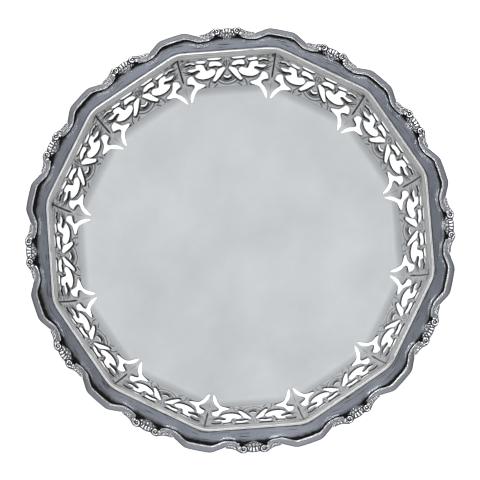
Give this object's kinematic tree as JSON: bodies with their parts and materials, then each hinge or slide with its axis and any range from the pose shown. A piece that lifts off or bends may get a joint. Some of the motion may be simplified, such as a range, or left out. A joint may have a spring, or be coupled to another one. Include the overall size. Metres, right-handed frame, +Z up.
{
  "type": "pierced silver dish",
  "caption": "Twelve-sided silver salver dish with a flat satin floor, pierced scrolled sides, a concave flange and an applied border of shells and reeding.",
  "frame": {"origin": "centre of the foot rim's lower face, on the plane the dish stands on", "axes": "+Z up along the axis of the dish, +X through the middle of gallery panel 01 and of shell 01"},
  "size_m": [0.28, 0.28, 0.0415],
  "materials": {
    "satin_silver": "satin silver with soft cloudy wear, roughness about 0.4",
    "gallery_silver": "polished silver, engraved, darkened in the cuts and seams",
    "flange_silver": "mirror-polished silver with fine scratches",
    "border_silver": "polished cast silver, dark in the recesses"
  },
  "bodies": {
    "root": {"border_moulding_01": "border_silver", "border_moulding_02": "border_silver", "border_moulding_03": "border_silver", "border_moulding_04": "border_silver", "border_moulding_05": "border_silver", "border_moulding_06": "border_silver", "border_moulding_07": "border_silver", "border_moulding_08": "border_silver", "border_moulding_09": "border_silver", "border_moulding_10": "border_silver", "border_moulding_11": "border_silver", "border_moulding_12": "border_silver", "gallery_panel_01": "gallery_silver", "gallery_panel_02": "gallery_silver", "gallery_panel_03": "gallery_silver", "gallery_panel_04": "gallery_silver", "gallery_panel_05": "gallery_silver", "gallery_panel_06": "gallery_silver", "gallery_panel_07": "gallery_silver", "gallery_panel_08": "gallery_silver", "gallery_panel_09": "gallery_silver", "gallery_panel_10": "gallery_silver", "gallery_panel_11": "gallery_silver", "gallery_panel_12": "gallery_silver", "shell_01": "border_silver", "shell_02": "border_silver", "shell_03": "border_silver", "shell_04": "border_silver", "shell_05": "border_silver", "shell_06": "border_silver", "shell_07": "border_silver", "shell_08": "border_silver", "shell_09": "border_silver", "shell_10": "border_silver", "shell_11": "border_silver", "shell_12": "border_silver", "flange_plate": "flange_silver", "foot_rim": "gallery_silver", "gallery_rail": "gallery_silver", "well_plate": "satin_silver"}
  },
  "joints": []
}
